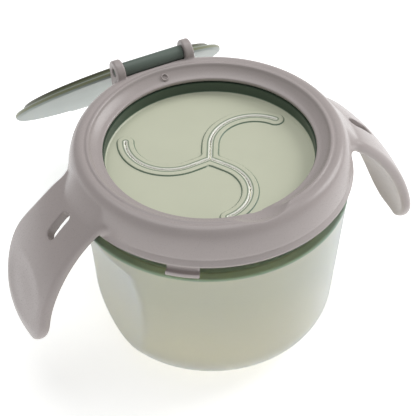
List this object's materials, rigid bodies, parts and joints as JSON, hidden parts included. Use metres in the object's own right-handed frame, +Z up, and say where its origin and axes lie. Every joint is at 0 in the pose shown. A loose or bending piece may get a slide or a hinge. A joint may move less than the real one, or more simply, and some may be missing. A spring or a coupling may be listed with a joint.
{
  "type": "toddler snack container",
  "caption": "Spill-proof toddler snack cup with a handled collar, a soft slit membrane for the hand and a flip lid",
  "frame": {"origin": "centre of the base, on the surface the cup stands on", "axes": "+Z up, -Y to the thumb-notch side, +Y to the lid hinge, handles along X"},
  "size_m": [0.1638, 0.1766, 0.0939],
  "materials": {
    "cup_clear_sage": "translucent satin",
    "collar_taupe": "satin",
    "lid_grey_green": "translucent gloss",
    "membrane_soft_sage": "matte"
  },
  "bodies": {
    "cup": {"cup": "cup_clear_sage"},
    "collar": {"collar": "collar_taupe", "flap_rim": "membrane_soft_sage"},
    "lid": {"lid": "lid_grey_green"},
    "flap_a": {"flap_a": "membrane_soft_sage"},
    "flap_b": {"flap_b": "membrane_soft_sage"},
    "flap_c": {"flap_c": "membrane_soft_sage"}
  },
  "joints": [
    {"name": "collar_lift", "type": "slide", "parent": "cup", "child": "collar", "axis": [0, 0, 1], "range_m": [0, 0.08]},
    {"name": "lid_hinge", "type": "hinge", "parent": "collar", "child": "lid", "pos_m": [0, 0.0526, 0.0891], "axis": [-1, 0, 0], "range_deg": [-227, 0]},
    {"name": "flap_a_bend", "type": "hinge", "parent": "collar", "child": "flap_a", "pos_m": [0.00403, 0.01671, 0.077], "axis": [0.9721, -0.2345, 0], "range_deg": [0, 65], "stiffness_Nm_per_rad": 0.02},
    {"name": "flap_b_bend", "type": "hinge", "parent": "collar", "child": "flap_b", "pos_m": [0.01245, -0.01184, 0.077], "axis": [-0.6891, -0.7247, 0], "range_deg": [0, 65], "stiffness_Nm_per_rad": 0.02},
    {"name": "flap_c_bend", "type": "hinge", "parent": "collar", "child": "flap_c", "pos_m": [-0.01648, -0.00486, 0.077], "axis": [-0.283, 0.9591, 0], "range_deg": [0, 65], "stiffness_Nm_per_rad": 0.02}
  ]
}
